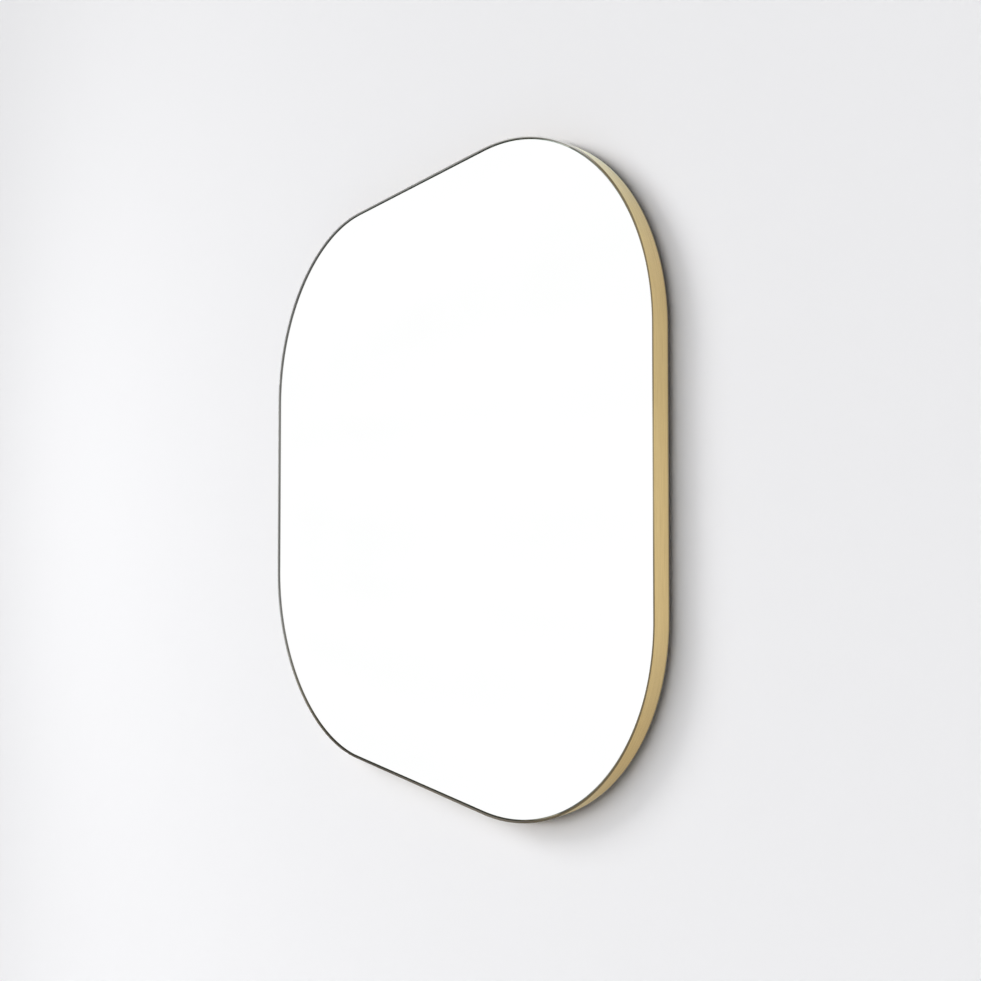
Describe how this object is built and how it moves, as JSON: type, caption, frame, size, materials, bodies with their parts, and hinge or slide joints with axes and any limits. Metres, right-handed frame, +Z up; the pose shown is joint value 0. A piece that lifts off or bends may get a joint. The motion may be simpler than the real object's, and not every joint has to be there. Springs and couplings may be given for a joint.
{
  "type": "rounded corner mirror",
  "caption": "Square wall mirror with generously rounded corners in a thin, deep brushed brass band, backed by a board that hooks on a Z-section wall rail and lifts off.",
  "frame": {"origin": "middle of the wall rail's row of screw holes, on the wall plane; the middle of the glass is 190 mm below it", "axes": "+Y into the wall, so the glass faces -Y; +X to the right as seen from the front; +Z up"},
  "size_m": [0.7, 0.0205, 0.7],
  "materials": {
    "band_brass": "brushed along the bar, satin, lacquered",
    "fitting_brass": "mill finish, dulled by the soldering",
    "zinc_screw": "bright zinc plated",
    "silvered_glass": "silvered, ground edge",
    "film": "matt",
    "foam_tape": "matt closed-cell foam",
    "painted_board": "fibreboard painted matt black",
    "rail_aluminium": "extruded, mill finish",
    "bumper_rubber": "matt"
  },
  "bodies": {
    "wall_rail": {"wall_rail": "rail_aluminium"},
    "mirror": {"frame_band": "band_brass", "joint_strap": "fitting_brass", "lug_bottom_left": "fitting_brass", "lug_bottom_right": "fitting_brass", "lug_right_lower": "fitting_brass", "lug_right_upper": "fitting_brass", "lug_top_right": "fitting_brass", "lug_top_left": "fitting_brass", "lug_left_upper": "fitting_brass", "lug_left_lower": "fitting_brass", "lug_screws": "zinc_screw", "mirror_glass": "silvered_glass", "safety_film": "film", "tape_strip_1": "foam_tape", "tape_strip_2": "foam_tape", "tape_strip_3": "foam_tape", "tape_strip_4": "foam_tape", "tape_strip_5": "foam_tape", "backing_board": "painted_board", "hang_rail": "rail_aluminium", "hang_rail_screws": "zinc_screw", "bumper_left": "bumper_rubber", "bumper_right": "bumper_rubber"}
  },
  "joints": [
    {"name": "lift_off", "type": "slide", "parent": "wall_rail", "child": "mirror", "axis": [0, 0, 1], "range_m": [0, 0.02]}
  ]
}
